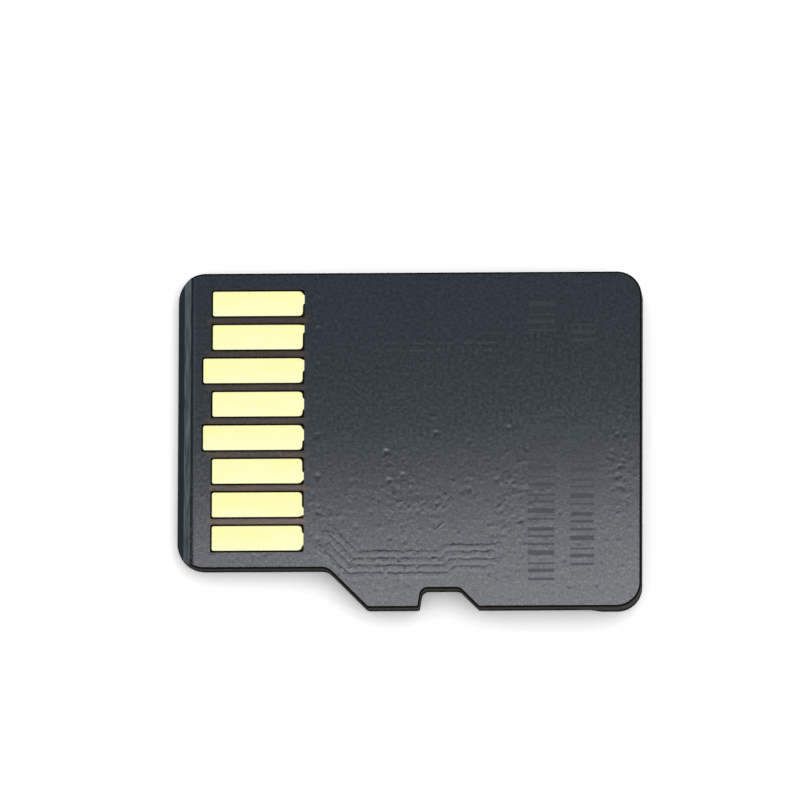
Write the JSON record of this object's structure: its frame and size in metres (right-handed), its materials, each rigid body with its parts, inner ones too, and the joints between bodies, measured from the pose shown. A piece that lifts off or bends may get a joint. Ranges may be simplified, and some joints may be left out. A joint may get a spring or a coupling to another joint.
{
  "type": "microsd memory card",
  "caption": "Thin black memory card with bright gold contacts in mask windows, a latch notch and a step on one long edge, a ground leading edge and a grip lip at the rear.",
  "frame": {"origin": "bottom centre of the card's box, on the underside of the grip lip", "axes": "+Z out of the contact side, +X from the leading edge to the grip lip, +Y away from the notch edge"},
  "size_m": [0.015, 0.011, 0.001],
  "materials": {
    "compound": "cut and moulded epoxy compound, matte",
    "laminate": "ground glass-epoxy board",
    "mask": "satin grey-black solder mask",
    "gold": "bright gold plating",
    "copper": "bare copper foil",
    "silicon": "polished silicon",
    "film": "die attach film",
    "wire": "gold bond wire",
    "capacitor_ceramic": "tan chip ceramic",
    "tin": "matte tin"
  },
  "bodies": {
    "root": {"board_laminate": "laminate", "capacitor_bodies": "capacitor_ceramic", "capacitor_end_caps": "tin", "contact_1_data_2": "gold", "contact_2_data_3": "gold", "contact_3_command": "gold", "contact_4_supply": "gold", "contact_5_clock": "gold", "contact_6_ground": "gold", "contact_7_data_0": "gold", "contact_8_data_1": "gold", "controller_die": "silicon", "controller_film": "film", "controller_wires": "wire", "inner_copper": "copper", "memory_die_1": "silicon", "memory_die_2": "silicon", "memory_film_1": "film", "memory_film_2": "film", "memory_wires_1": "wire", "memory_wires_2": "wire", "moulded_body": "compound", "signal_traces": "copper", "solder_mask": "mask", "via_barrels": "copper"}
  },
  "joints": []
}
